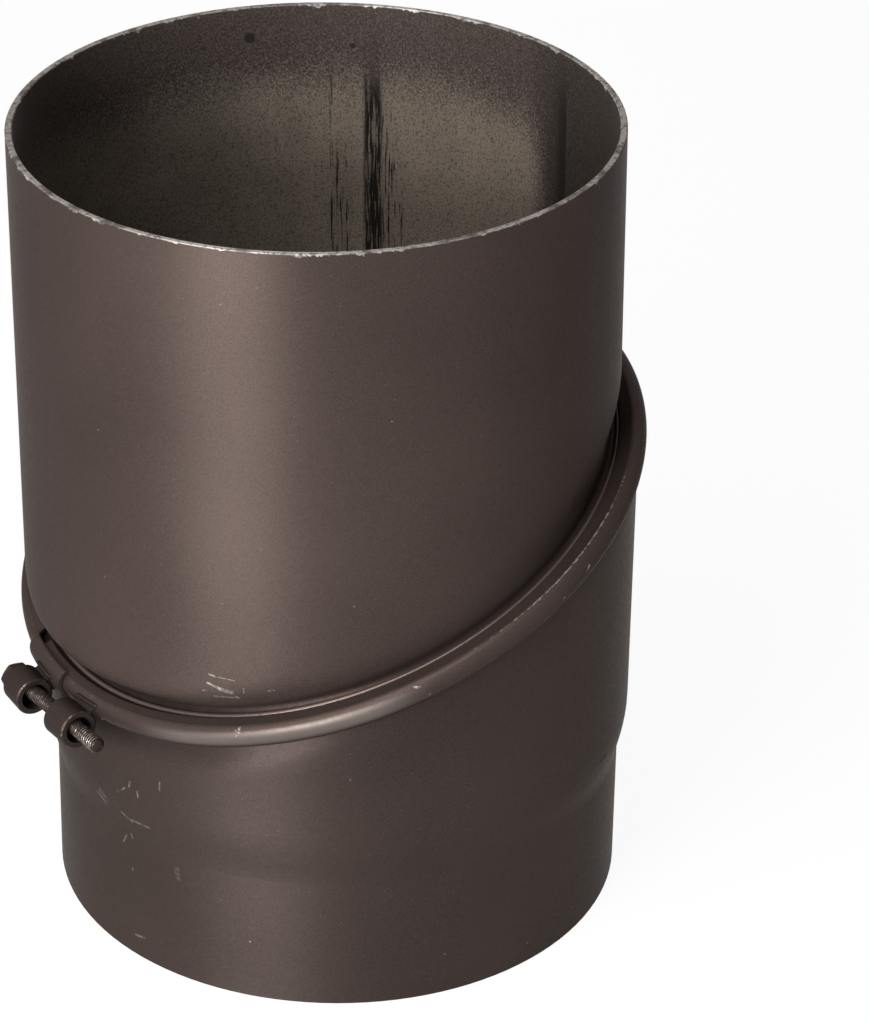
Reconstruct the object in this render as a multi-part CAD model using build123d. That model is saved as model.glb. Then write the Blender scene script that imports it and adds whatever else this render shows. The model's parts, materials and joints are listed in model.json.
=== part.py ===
from build123d import *
import os
from math import cos, radians, sin, sqrt, tan

# Adjustable flue elbow: two short pipes meet in a slanted swivel joint, held by a split clamp band.
# Millimetres. Z is the axis of the lower pipe, the base of its spigot is at z = 0,
# and the slanted joint is lowest on the -X side and highest on the +X side.

# Pipes
pipe_od = 150.0
pipe_wall = 2.0
leg_length = 106.0  # along each pipe's axis, from its free end to the joint plane
edge_break = 0.3  # small chamfer on the cut ends
socket_sizing = 0.2  # the upper end is opened by this much all round, to take the next pipe
socket_depth = 40.0
socket_ease = 4.0  # length of the taper below the socket

# Slanted joint
slant_deg = 22.5
flange_shift = 2.7  # the flange centre lies off the pipe axis by this much, towards the pipe's short side
swivel_shown_deg = 3.5  # the upper pipe is turned this far from straight
neck_start = 16.0  # the pipe starts to draw in this far from the joint plane
neck_sections = 7
flange_od = 162.4
flange_width = 6.2  # from the drawn-in neck to the flange's edge
flange_fillet = 1.5

# Spigot
spigot_clearance = 0.45  # all round, inside a socket like the one at the upper end
spigot_length = 36.0
swage_height = 15.0
swage_top_ease = 0.50  # share of the swage height that bends away from the pipe
swage_foot_ease = 0.25  # share of the swage height that bends into the spigot

# Clamp band, a C section with flat lips and a round face, rolled round both flanges
band_thickness = 1.0
band_crown = 2.27  # the round face stands out from the flange's edge by this much
crease_out = 0.2  # the crease between lip and face lies this far outside the flange's edge
lip_reach = 3.7  # the lips reach this far in from the flange's edge
lip_clearance = 0.3
lap_clearance = 0.2  # between the lapping end and the end under it
lap_lip_reach = 0.7
band_end_deg = 171.5  # where the covered end starts, round the joint from the high side
lap_start_deg = 169.5
jog_deg = 2.5
lap_end_deg = 182.5

# Bolt, on a line that touches the band's circle at bolt_deg
bolt_deg = 185.1
bolt_d = 4.0
bolt_length = 38.5  # under the head
bolt_tip_chamfer = 0.5
head_across_flats = 7.0
head_height = 2.8
head_chamfer_deg = 30.0
head_turn_deg = 30.0
head_gap = 0.3  # between the head and the nearest edge of its lug

# Lugs
lug_od = 10.0
lug_length = 9.0
lug_chamfer = 0.4
lug_stand = 0.22  # from the band's face to the lug at the touching point
recess_d = 7.0
recess_depth = 4.0
thread_fit = 0.05
threaded_lug_start = 2.9  # along the bolt line, from the touching point
head_lug_length = 8.2
head_lug_end = -8.5  # along the bolt line
head_lug_offset = 0.8  # the middle of its recessed end lies this far outside the bolt line
head_lug_lean_deg = 5.4  # it follows the band, so it leans from the bolt line
bolt_hole_clearance = 0.75
foot_width = 3.0
foot_flare = 0.8  # the weld foot widens by this much on each side where it meets the band
foot_inset = 0.8  # the foot stops short of the lug's ends
weld_seat = 0.02

# Worked-out sizes
slant = radians(slant_deg)
pipe_r = pipe_od / 2
bore_r = pipe_r - pipe_wall
socket_r = bore_r + socket_sizing
spigot_r = socket_r - spigot_clearance
flange_r = flange_od / 2
neck_r = flange_r - flange_width
neck_end = pipe_wall + flange_fillet
lip_low = pipe_wall + lip_clearance
lip_high = lip_low + band_thickness
lip_r = flange_r - lip_reach
lap_lip_r = flange_r - lap_lip_reach
lap_rise = band_thickness + lap_clearance
band_face_r = flange_r + band_crown
face_bulge = band_crown - crease_out
face_r = (lip_high**2 + face_bulge**2) / (2 * face_bulge)
face_centre = band_face_r - face_r
bolt_line_r = band_face_r + lug_stand + lug_od / 2
head_lug_lean = radians(head_lug_lean_deg)
head_corner_r = head_across_flats / 2 / cos(radians(30))
head_lug_start = head_lug_end - head_lug_length * cos(head_lug_lean)
head_seat = head_lug_start - head_corner_r * tan(head_lug_lean) - head_gap

# Joint frame: x runs up the slope, z is the swivel axis
joint_centre = (-flange_shift, 0, leg_length - flange_shift * tan(slant))
swivel_axis = (-sin(slant), 0, cos(slant))
joint = Plane(origin=joint_centre, x_dir=(cos(slant), 0, sin(slant)), z_dir=swivel_axis)
leg = Plane(
    origin=(-flange_shift / cos(slant), 0, 0),
    x_dir=(cos(slant), 0, -sin(slant)),
    z_dir=(sin(slant), 0, cos(slant)),
)

# Bolt frame, in the joint frame: z runs along the bolt towards its tip, x points away from the band
bolt_angle = radians(bolt_deg)
outward = (cos(bolt_angle), sin(bolt_angle), 0)
along = (-sin(bolt_angle), cos(bolt_angle), 0)
bolt_frame = Plane(
    origin=(bolt_line_r * outward[0], bolt_line_r * outward[1], 0),
    x_dir=outward,
    z_dir=along,
)
head_lug_frame = bolt_frame * (Pos(head_lug_offset, 0, head_lug_end) * Rot(0, head_lug_lean_deg, 0))


def ring(outer, inner, low, high):
    """A tube about z between two heights, with its outer and inner radius."""
    tube = Cylinder(outer, high - low) - Cylinder(inner, high - low)
    return Pos(0, 0, (low + high) / 2) * tube


def turned(points):
    """A closed outline of (radius, height) points, revolved about z."""
    return revolve(Plane.XZ * make_face(Polyline(*points, close=True)), Axis.Z)


def neck_section(radius, end_radius, share):
    """The section of the draw-in at a share of its height, from the flange (0) to the plain pipe (1)."""
    height = neck_end + share * (neck_start - neck_end)
    round_share = (1 - share) ** 3 * (1 + 3 * share)
    pipe_share = 1 - round_share
    middle = pipe_share * (height * tan(slant) - flange_shift / cos(slant))
    along_slope = round_share * end_radius + pipe_share * radius / cos(slant)
    across = round_share * end_radius + pipe_share * radius
    return Pos(middle, 0, height) * Ellipse(along_slope, across)


def neck_solid(radius, end_radius):
    shares = [i / (neck_sections - 1) for i in range(neck_sections)]
    return loft([neck_section(radius, end_radius, share) for share in shares])


def flange():
    """The flat ring that the sheet turns out into, with its bend."""
    bend_r = neck_r + flange_fillet
    outline = [
        CenterArc((bend_r, neck_end), flange_fillet, 180, 90),
        Line((bend_r, pipe_wall), (flange_r, pipe_wall)),
        Line((flange_r, pipe_wall), (flange_r, 0)),
        Line((flange_r, 0), (bend_r, 0)),
        CenterArc((bend_r, neck_end), neck_end, 270, -90),
        Line((neck_r - pipe_wall, neck_end), (neck_r, neck_end)),
    ]
    return revolve(Plane.XZ * make_face(outline), Axis.Z)


def elbow_half(straight_end):
    """A pipe with its neck and flange, in the joint frame, up to straight_end along its axis."""
    reach = 2 * pipe_od
    straight = leg * ring(pipe_r, bore_r, -pipe_r, straight_end)
    straight -= Pos(0, 0, neck_start - reach / 2) * Box(2 * reach, 2 * reach, reach)
    neck = neck_solid(pipe_r, neck_r) - neck_solid(bore_r, neck_r - pipe_wall)
    return straight + neck + flange()


def upper_pipe():
    socket_start = leg_length - socket_depth
    ease_start = socket_start - socket_ease
    socket = turned(
        [
            (pipe_r, ease_start),
            (pipe_r, leg_length - edge_break),
            (pipe_r - edge_break, leg_length),
            (socket_r + edge_break, leg_length),
            (socket_r, leg_length - edge_break),
            (socket_r, socket_start),
            (bore_r, ease_start),
        ]
    )
    half = elbow_half(ease_start) + leg * socket
    return joint * (Rot(0, 0, swivel_shown_deg) * half)


def swaged_wall(offset):
    """The outside of the swage and spigot, moved in by an offset, from top to bottom."""
    top = (pipe_r - offset, spigot_length + swage_height)
    foot = (spigot_r - offset, spigot_length)
    top_pull = (top[0], top[1] - swage_top_ease * swage_height)
    foot_pull = (foot[0], foot[1] + swage_foot_ease * swage_height)
    return Bezier(top, top_pull, foot_pull, foot), foot


def lower_pipe():
    outer_swage, outer_foot = swaged_wall(0)
    inner_swage, inner_foot = swaged_wall(pipe_wall)
    outer, inner = outer_foot[0], inner_foot[0]
    end = Polyline(
        outer_foot,
        (outer, edge_break),
        (outer - edge_break, 0),
        (inner + edge_break, 0),
        (inner, edge_break),
        inner_foot,
    )
    top = Line(outer_swage @ 0, inner_swage @ 0)
    spigot = revolve(Plane.XZ * make_face([outer_swage, end, inner_swage, top]), Axis.Z)
    half = elbow_half(leg_length - spigot_length - swage_height)
    return joint * (Rot(0, 180, 0) * half) + spigot


def face_crease(radius, height):
    """How far out the band's round face meets a lip at a height."""
    return face_centre + sqrt(radius**2 - height**2)


def band_section(rise, lip_edge):
    """The C section of the band, open towards the joint's middle and moved out by a rise."""
    high = lip_high + rise
    low = lip_low + rise
    outer_r = face_r + rise
    inner_r = outer_r - band_thickness
    outer = face_crease(outer_r, high)
    inner = face_crease(inner_r, low)
    outline = [
        Line((lip_edge, high), (outer, high)),
        ThreePointArc((outer, high), (face_centre + outer_r, 0), (outer, -high)),
        Line((outer, -high), (lip_edge, -high)),
        Line((lip_edge, -high), (lip_edge, -low)),
        Line((lip_edge, -low), (inner, -low)),
        ThreePointArc((inner, -low), (face_centre + inner_r, 0), (inner, low)),
        Line((inner, low), (lip_edge, low)),
        Line((lip_edge, low), (lip_edge, high)),
    ]
    return Plane.XZ * make_face(outline)


def band_form(rise):
    """A disc whose rim is the band's round face, moved out by a rise."""
    high = lip_high + rise
    radius = face_r + rise
    crease = face_crease(radius, high)
    outline = [
        Line((0, high), (crease, high)),
        ThreePointArc((crease, high), (face_centre + radius, 0), (crease, -high)),
        Line((crease, -high), (0, -high)),
        Line((0, -high), (0, high)),
    ]
    return revolve(Plane.XZ * make_face(outline), Axis.Z)


def clamp_band():
    plain = band_section(0, lip_r)
    lapping = band_section(lap_rise, lap_lip_r)
    jog_start_deg = lap_start_deg - jog_deg
    body = Rot(0, 0, band_end_deg) * revolve(plain, Axis.Z, 360 + jog_start_deg - band_end_deg)
    lap = Rot(0, 0, lap_start_deg) * revolve(lapping, Axis.Z, lap_end_deg - lap_start_deg)
    jog = loft([Rot(0, 0, jog_start_deg) * plain, Rot(0, 0, lap_start_deg) * lapping], ruled=True)
    return joint * (body + jog + lap)


def hole(radius, depth):
    return Cylinder(radius, depth, align=(Align.CENTER, Align.CENTER, Align.MIN))


def lug(frame, start, length, hole_r, rise):
    """A tube along a frame's z, with a recess in its far end and a weld foot shaped to the band."""
    end = start + length
    radius = lug_od / 2
    tube = turned(
        [
            (0, start),
            (radius - lug_chamfer, start),
            (radius, start + lug_chamfer),
            (radius, end - lug_chamfer),
            (radius - lug_chamfer, end),
            (0, end),
        ]
    )
    half_top = foot_width / 2
    half_base = half_top + foot_flare
    foot_outline = Polyline(
        (0, half_top),
        (0, -half_top),
        (-lug_od, -half_base),
        (-lug_od, half_base),
        close=True,
    )
    foot = extrude(Pos(0, 0, start + foot_inset) * make_face(foot_outline), length - 2 * foot_inset)
    body = frame * (tube + foot) - band_form(rise + weld_seat)
    bore = Pos(0, 0, start) * hole(hole_r, length)
    recess = Pos(0, 0, end - recess_depth) * hole(recess_d / 2, recess_depth)
    return joint * (body - frame * (bore + recess))


def clamp_bolt():
    radius = bolt_d / 2
    flat_r = head_across_flats / 2
    head_drop = (head_corner_r - flat_r) * tan(radians(head_chamfer_deg))
    prism = extrude(RegularPolygon(head_corner_r, 6, rotation=head_turn_deg), head_height)
    crown = turned(
        [
            (0, 0),
            (flat_r, 0),
            (head_corner_r, head_drop),
            (head_corner_r, head_height),
            (0, head_height),
        ]
    )
    tip = head_height + bolt_length
    shank = turned(
        [
            (0, head_height),
            (radius, head_height),
            (radius, tip - bolt_tip_chamfer),
            (radius - bolt_tip_chamfer, tip),
            (0, tip),
        ]
    )
    bolt = (prism & crown) + shank
    return joint * (bolt_frame * (Pos(0, 0, head_seat - head_height) * bolt))


nodes = {
    "upper_pipe": upper_pipe(),
    "lower_pipe": lower_pipe(),
    "clamp_band": clamp_band(),
    "head_lug": lug(
        head_lug_frame, -head_lug_length, head_lug_length, bolt_d / 2 + bolt_hole_clearance, lap_rise
    ),
    "threaded_lug": lug(bolt_frame, threaded_lug_start, lug_length, bolt_d / 2 + thread_fit, 0),
    "clamp_bolt": clamp_bolt(),
}

os.makedirs("parts", exist_ok=True)
for name, solid in nodes.items():
    export_step(solid, f"parts/{name}.step")
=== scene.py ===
import bmesh
import bpy
import json
from math import atan2, cos, degrees, pi, radians, sin, sqrt, tan
from mathutils import Matrix, Vector


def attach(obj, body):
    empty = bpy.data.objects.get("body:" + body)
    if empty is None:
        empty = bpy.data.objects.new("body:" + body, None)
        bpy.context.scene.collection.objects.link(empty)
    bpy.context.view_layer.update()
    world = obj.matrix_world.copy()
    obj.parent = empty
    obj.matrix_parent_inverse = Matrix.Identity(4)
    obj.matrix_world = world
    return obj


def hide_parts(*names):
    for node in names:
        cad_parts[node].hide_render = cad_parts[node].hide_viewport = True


# Adjustable flue elbow in dark brown stove paint, dressed around its solids. Metres.
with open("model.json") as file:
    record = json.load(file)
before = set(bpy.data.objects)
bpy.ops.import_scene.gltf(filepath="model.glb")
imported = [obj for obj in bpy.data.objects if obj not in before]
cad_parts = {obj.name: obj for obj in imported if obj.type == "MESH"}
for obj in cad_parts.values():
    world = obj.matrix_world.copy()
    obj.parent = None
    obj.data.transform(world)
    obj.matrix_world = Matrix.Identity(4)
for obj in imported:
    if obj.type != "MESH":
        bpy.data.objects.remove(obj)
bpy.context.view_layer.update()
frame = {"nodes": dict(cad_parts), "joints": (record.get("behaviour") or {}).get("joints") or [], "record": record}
MM = 0.001

# Places taken from the solids' record
JOINTS = {joint["name"]: joint for joint in frame["joints"]}
MOUNTS = {mount["name"]: mount for mount in frame["record"]["mounts"]}
SWIVEL_AT = Vector(JOINTS["elbow_swivel"]["pos_m"])
SWIVEL_AXIS = Vector(JOINTS["elbow_swivel"]["axis"]).normalized()
UP_SLOPE = Vector((0, 1, 0)).cross(SWIVEL_AXIS).normalized()
BOLT_AT = Vector(JOINTS["bolt_turn"]["pos_m"])
BOLT_AXIS = Vector(JOINTS["bolt_turn"]["axis"]).normalized()
SOCKET_AT = Vector(MOUNTS["socket"]["pos_m"])
SOCKET_AXIS = Vector(MOUNTS["socket"]["axis"]).normalized()

# Sizes that the dressing shares with the solids
EDGE_BREAK = 0.3 * MM
SOCKET_LENGTH = MOUNTS["socket"]["dims"]["length_mm"] * MM
RIM_AT = SOCKET_AT + SOCKET_AXIS * (SOCKET_LENGTH / 2 + EDGE_BREAK)
PIPE_R = 75.0 * MM
SMOOTH_DEG = 35.0  # edges flatter than this are drawn smooth
QUAD = 4  # corners of a plain face

# Clamp band
BAND_THICKNESS = 1.0 * MM
BAND_FACE_R = 83.47 * MM
CREASE_R = 81.4 * MM
LIP_LOW = 2.3 * MM
LIP_HIGH = LIP_LOW + BAND_THICKNESS
LIP_R = 77.9 * MM
LIP_DRIFT = 0.5 * MM  # the lip is narrower towards the clamp's bolt
LIP_DRIFT_DEG = 160.0
LAP_LIP_R = 80.5 * MM
LAP_RISE = 1.2 * MM
BAND_END_DEG = 171.5
LAP_START_DEG = 169.5
JOG_DEG = 2.5
LAP_END_DEG = 182.5
LIP_ROUND = 0.22 * MM
ROUND_STEPS = 4
CREASE_ROUND = 3.0 * MM
CREASE_REACH = 0.8 * MM
FACE_STEPS = 16
BAND_STEP_DEG = 1.0
JOG_STEP_DEG = 0.25
BAND_WAVE = 0.09 * MM  # the rolled band runs slightly out of true
BAND_WAVES = [(3, 0.7, 1.0), (7, 2.1, 0.6)]  # waves round the band, where they start and their weight

# Wear on the band's edges, and where it is rubbed: middle and half width in degrees, and how hard at most
WEAR_LIP_TOP = 0.7
WEAR_LIP_FOOT = 0.5
WEAR_LIP_INNER = 0.3
WEAR_CREASE_TOP = 0.75
WEAR_CREASE_FOOT = 0.4
RUB_LEAST = 0.3
RUB_ZONES = [(292.0, 36.0, 1.1), (185.0, 35.0, 0.75), (75.0, 60.0, 1.0)]

# Bolt and lugs, along the bolt line from the touching point
BOLT_R = 2.0 * MM
THREAD_PITCH = 0.8 * MM
THREAD_DEPTH = 0.46 * MM
THREAD_FLAT = 0.12  # share of the flank that is flat at the crest and at the root
THREAD_SAMPLES = 10
THREAD_WEAR = 0.62
TIP_WEAR = 1.0
TIP_WEAR_START = 0.75  # share of the bolt's length
BOLT_AROUND = 48
BOLT_SMOOTH_DEG = 50.0
BOLT_SEAT = -17.35 * MM
BOLT_LENGTH = 38.5 * MM
BOLT_TIP_CHAMFER = 0.5 * MM
HEAD_FLAT_R = 3.5 * MM
HEAD_HEIGHT = 2.8 * MM
HEAD_TURN_DEG = 30.0
HEAD_CHAMFER_DEG = 30.0
CROWN_R = 0.97 * HEAD_FLAT_R
CROWN_WEAR = 0.3
HEAD_RIM_WEAR = 0.6
HEAD_SEAT_WEAR = 0.2
TIP_FACE_WEAR = 0.2
LUG_R = 5.0 * MM
THREADED_LUG = (2.9 * MM, 11.9 * MM)
HEAD_LUG = (-16.66 * MM, -8.5 * MM)
HEAD_LUG_OFFSET = 0.8 * MM
HEAD_LUG_LEAN_DEG = 5.4

# Rounded root of the flanges
ROOT_LINE_R = 76.6 * MM
ROOT_R = 0.75 * MM
ROOT_HEIGHT = 2.05 * MM
ROOT_STEPS = 240
ROOT_AROUND = 16

# Weld beads between lugs and band
WELD_R = 0.55 * MM
WELD_RIPPLE = 0.05 * MM
WELD_RIPPLE_LENGTH = 2.0 * MM
WELD_HEIGHT = 2.4 * MM
WELD_STANDS = 0.15 * MM  # the bead's middle above the band
WELD_END_R = 0.02 * MM
WELD_TAPER = 6  # the higher, the blunter its ends
WELD_WEAR = 0.1
WELD_STEPS = 48
WELD_AROUND = 20


def swivel_point(radius, angle_deg, height):
    """A point at a radius, angle and height about the swivel axis."""
    across = SWIVEL_AXIS.cross(UP_SLOPE)
    angle = radians(angle_deg)
    flat = UP_SLOPE * cos(angle) + across * sin(angle)
    return SWIVEL_AT + flat * radius + SWIVEL_AXIS * height


def bolt_point(radius, angle, along):
    """A point about the bolt line. Angle 0 points away from the band."""
    outward = SWIVEL_AXIS.cross(BOLT_AXIS).normalized()
    if outward.dot(BOLT_AT - SWIVEL_AT) < 0:
        outward = -outward
    side = BOLT_AXIS.cross(outward)
    return BOLT_AT + BOLT_AXIS * along + (outward * cos(angle) + side * sin(angle)) * radius


def grid_piece(name, rows, body, wear=None, smooth_deg=SMOOTH_DEG, ring=False):
    """A closed piece from rows of points that run round it. A row of one point closes an end."""
    points = [point for row in rows for point in row]
    starts = [sum(len(row) for row in rows[:i]) for i in range(len(rows))]
    faces = []
    for i in range(len(rows) if ring else len(rows) - 1):
        j = (i + 1) % len(rows)
        low, high = rows[i], rows[j]
        around = max(len(low), len(high))
        for k in range(around):
            n = (k + 1) % around
            face = []
            face += [starts[i]] if len(low) == 1 else [starts[i] + k, starts[i] + n]
            face += [starts[j]] if len(high) == 1 else [starts[j] + n, starts[j] + k]
            faces.append(face)
    if len(rows[0]) > 1 and not ring:
        faces.append([starts[0] + k for k in range(len(rows[0]))])
    if len(rows[-1]) > 1 and not ring:
        faces.append([starts[-1] + k for k in range(len(rows[-1]))])
    mesh = bpy.data.meshes.new(name)
    mesh.from_pydata([tuple(point) for point in points], [], faces)
    work = bmesh.new()
    work.from_mesh(mesh)
    bmesh.ops.recalc_face_normals(work, faces=work.faces)
    ends = [face for face in work.faces if len(face.verts) > QUAD]
    bmesh.ops.triangulate(work, faces=ends, ngon_method="EAR_CLIP")
    work.to_mesh(mesh)
    work.free()
    mesh.polygons.foreach_set("use_smooth", [True] * len(mesh.polygons))
    mesh.set_sharp_from_angle(angle=radians(smooth_deg))
    values = wear or [0.0] * len(points)
    mesh.attributes.new("wear", "FLOAT", "POINT").data.foreach_set("value", values)
    piece = bpy.data.objects.new(name, mesh)
    bpy.context.scene.collection.objects.link(piece)
    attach(piece, body)
    return piece


def rounded(corners, steps=ROUND_STEPS):
    """Points (x, y, wear) along a closed outline of corners (x, y, round, wear)."""
    points = []
    for i, (x, y, round_r, wear) in enumerate(corners):
        if round_r == 0:
            points.append((x, y, wear))
            continue
        here = Vector((x, y))
        before = (Vector(corners[i - 1][:2]) - here).normalized()
        after = (Vector(corners[(i + 1) % len(corners)][:2]) - here).normalized()
        half = before.angle(after) / 2
        reach = round_r / tan(half)
        centre = here + (before + after).normalized() * (round_r / sin(half))
        first = here + before * reach - centre
        last = here + after * reach - centre
        start = atan2(first.y, first.x)
        turn = (atan2(last.y, last.x) - start + pi) % (2 * pi) - pi
        for k in range(steps + 1):
            angle = start + turn * k / steps
            spot = centre + Vector((cos(angle), sin(angle))) * round_r
            points.append((spot.x, spot.y, wear * (1 - abs(2 * k / steps - 1))))
    return points


def band_face():
    """Radius of the band's round face in its section, and how far out its centre lies."""
    bulge = BAND_FACE_R - CREASE_R
    face_r = (LIP_HIGH**2 + bulge**2) / (2 * bulge)
    return face_r, BAND_FACE_R - face_r


def band_outline(rise, lip_edge):
    """Points (radius, height, wear) round the band's section, with flat lips and a round face."""
    face_r, face_centre = band_face()
    outer_r = face_r + rise
    inner_r = outer_r - BAND_THICKNESS
    high = LIP_HIGH + rise
    low = LIP_LOW + rise
    outer = face_centre + sqrt(outer_r**2 - high**2)
    inner = face_centre + sqrt(inner_r**2 - low**2)
    corners = [(lip_edge, low, LIP_ROUND, WEAR_LIP_INNER), (lip_edge, high, LIP_ROUND, WEAR_LIP_TOP)]
    lip_flat = (lip_edge + 2 * LIP_ROUND, outer - CREASE_REACH)
    corners += [(radius, high, 0, 0.0) for radius in lip_flat]
    corners.append((outer, high, CREASE_ROUND, WEAR_CREASE_TOP))
    top = atan2(high, outer - face_centre)
    for k in range(2, FACE_STEPS - 1):
        angle = top - 2 * top * k / FACE_STEPS
        corners.append((face_centre + outer_r * cos(angle), outer_r * sin(angle), 0, 0.0))
    corners.append((outer, -high, CREASE_ROUND, WEAR_CREASE_FOOT))
    corners += [(radius, -high, 0, 0.0) for radius in reversed(lip_flat)]
    corners.append((lip_edge, -high, LIP_ROUND, WEAR_LIP_FOOT))
    corners.append((lip_edge, -low, LIP_ROUND, WEAR_LIP_INNER))
    under = atan2(low, inner - face_centre)
    for k in range(FACE_STEPS + 1):
        angle = -under + 2 * under * k / FACE_STEPS
        corners.append((face_centre + inner_r * cos(angle), inner_r * sin(angle), 0, 0.0))
    return rounded(corners)


def band_angles():
    """Angles along the band from its covered end to its lapping end, closer together at the jog."""
    jog_start = 360 + LAP_START_DEG - JOG_DEG
    jog_end = 360 + LAP_START_DEG
    angles = []
    angle = BAND_END_DEG
    while angle < 360 + LAP_END_DEG:
        angles.append(angle)
        near_jog = jog_start - BAND_STEP_DEG < angle < jog_end + BAND_STEP_DEG
        angle += JOG_STEP_DEG if near_jog else BAND_STEP_DEG
    return angles + [360 + LAP_END_DEG]


def band_rub(angle_deg):
    """How hard the band is rubbed: most on the front right and near the bolt."""
    rub = RUB_LEAST
    for middle, half, most in RUB_ZONES:
        apart = abs((angle_deg - middle + 180) % 360 - 180)
        rub = max(rub, most - (most - RUB_LEAST) * min(apart / half, 1) ** 2)
    return rub


def band_wave(turn):
    """How far the band runs out of true at an angle."""
    total = sum(weight * sin(waves * turn + start) for waves, start, weight in BAND_WAVES)
    return BAND_WAVE * total / sum(weight for waves, start, weight in BAND_WAVES)


def clamp_band():
    """The split band, from its covered end round to its lapping end."""
    rows = []
    wear = []
    for angle in band_angles():
        turn = radians(angle)
        share = min(max((angle - 360 - LAP_START_DEG + JOG_DEG) / JOG_DEG, 0), 1)
        share = share * share * (3 - 2 * share)
        plain_lip = LIP_R + LIP_DRIFT * cos(turn - radians(LIP_DRIFT_DEG))
        lip_edge = plain_lip * (1 - share) + LAP_LIP_R * share
        wave = band_wave(turn)
        row = []
        rubbed = band_rub(angle)
        for radius, height, worn in band_outline(share * LAP_RISE, lip_edge):
            row.append(swivel_point(radius + wave, angle, height))
            wear.append(worn * rubbed)
        rows.append(row)
    band = grid_piece("clamp_band_rolled", rows, "clamp", wear)
    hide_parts("clamp_band")
    return band


def flange_root(name, body, side):
    """The rounded root of a flange, a low bead at the foot of its neck."""
    rows = []
    for k in range(ROOT_STEPS):
        ring = []
        for j in range(ROOT_AROUND):
            turn = 2 * pi * j / ROOT_AROUND
            radius = ROOT_LINE_R + ROOT_R * cos(turn)
            height = ROOT_HEIGHT + ROOT_R * sin(turn)
            ring.append(swivel_point(radius, 360 * k / ROOT_STEPS, side * height))
        rows.append(ring)
    return grid_piece(name, rows, body, ring=True)


def thread_radius(along, angle):
    """The thread's radius, a rounded V that runs round with the angle."""
    phase = (along / THREAD_PITCH - angle / (2 * pi)) % 1
    depth = abs(2 * phase - 1)
    depth = min(max((depth - THREAD_FLAT) / (1 - 2 * THREAD_FLAT), 0), 1)
    return BOLT_R - THREAD_DEPTH * depth


def clamp_bolt():
    """The bolt from its head's crown to its tip."""
    angles = [2 * pi * k / BOLT_AROUND for k in range(BOLT_AROUND)]
    rows = [[bolt_point(0, 0, BOLT_SEAT - HEAD_HEIGHT)]]
    wear = [CROWN_WEAR]
    hexes = []
    for angle in angles:
        turned = (angle - radians(HEAD_TURN_DEG)) % (pi / 3) - pi / 6
        hexes.append(HEAD_FLAT_R / cos(turned))
    slope = tan(radians(HEAD_CHAMFER_DEG))
    crown = BOLT_SEAT - HEAD_HEIGHT
    rows.append([bolt_point(CROWN_R, a, crown) for a in angles])
    rows.append([bolt_point(r, a, crown + (r - CROWN_R) * slope) for r, a in zip(hexes, angles)])
    rows.append([bolt_point(r, a, BOLT_SEAT) for r, a in zip(hexes, angles)])
    for worn in (CROWN_WEAR, HEAD_RIM_WEAR, HEAD_SEAT_WEAR):
        wear += [worn] * BOLT_AROUND
    steps = round(BOLT_LENGTH / THREAD_PITCH * THREAD_SAMPLES)
    tip = BOLT_SEAT + BOLT_LENGTH
    for k in range(steps + 1):
        along = BOLT_SEAT + BOLT_LENGTH * k / steps
        limit = BOLT_R - max(along - tip + BOLT_TIP_CHAMFER, 0)
        radii = [min(thread_radius(along, a), limit) for a in angles]
        rows.append([bolt_point(r, a, along) for r, a in zip(radii, angles)])
        near_tip = max((k / steps - TIP_WEAR_START) / (1 - TIP_WEAR_START), 0)
        worn = THREAD_WEAR + (TIP_WEAR - THREAD_WEAR) * near_tip
        wear += [worn * max((r - BOLT_R + THREAD_DEPTH) / THREAD_DEPTH, 0) ** 2 for r in radii]
    rows.append([bolt_point(0, 0, tip)])
    wear.append(TIP_FACE_WEAR)
    bolt = grid_piece("clamp_bolt_threaded", rows, "bolt", wear, BOLT_SMOOTH_DEG)
    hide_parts("clamp_bolt")
    return bolt


def bolt_angle_deg():
    """Where the bolt line touches the band's circle."""
    spoke = BOLT_AT - SWIVEL_AT
    across = SWIVEL_AXIS.cross(UP_SLOPE)
    return degrees(atan2(spoke.dot(across), spoke.dot(UP_SLOPE)))


def weld_bead(name, span, rise, side):
    """A rippled bead in the seam between a lug and the band, above (side 1) or below (side -1)."""
    start, end = span
    face_r, face_centre = band_face()
    line_r = face_centre + sqrt((face_r + rise) ** 2 - WELD_HEIGHT**2) + WELD_STANDS
    rows = []
    for k in range(WELD_STEPS + 1):
        share = k / WELD_STEPS
        along = start + (end - start) * share
        taper = sqrt(max(1 - (2 * share - 1) ** WELD_TAPER, 0))
        ripple = WELD_RIPPLE * sin(2 * pi * (end - start) * share / WELD_RIPPLE_LENGTH)
        radius = max((WELD_R + ripple) * taper, WELD_END_R)
        angle = degrees(atan2(along, BAND_FACE_R + rise))
        middle = swivel_point(line_r, bolt_angle_deg() + angle, side * WELD_HEIGHT)
        flat = (middle - SWIVEL_AT - SWIVEL_AXIS * side * WELD_HEIGHT).normalized()
        ring = []
        for j in range(WELD_AROUND):
            turn = 2 * pi * j / WELD_AROUND
            ring.append(middle + (flat * cos(turn) + SWIVEL_AXIS * sin(turn)) * radius)
        rows.append(ring)
    wear = [WELD_WEAR] * (len(rows) * WELD_AROUND)
    return grid_piece(name, rows, "clamp", wear)


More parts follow.
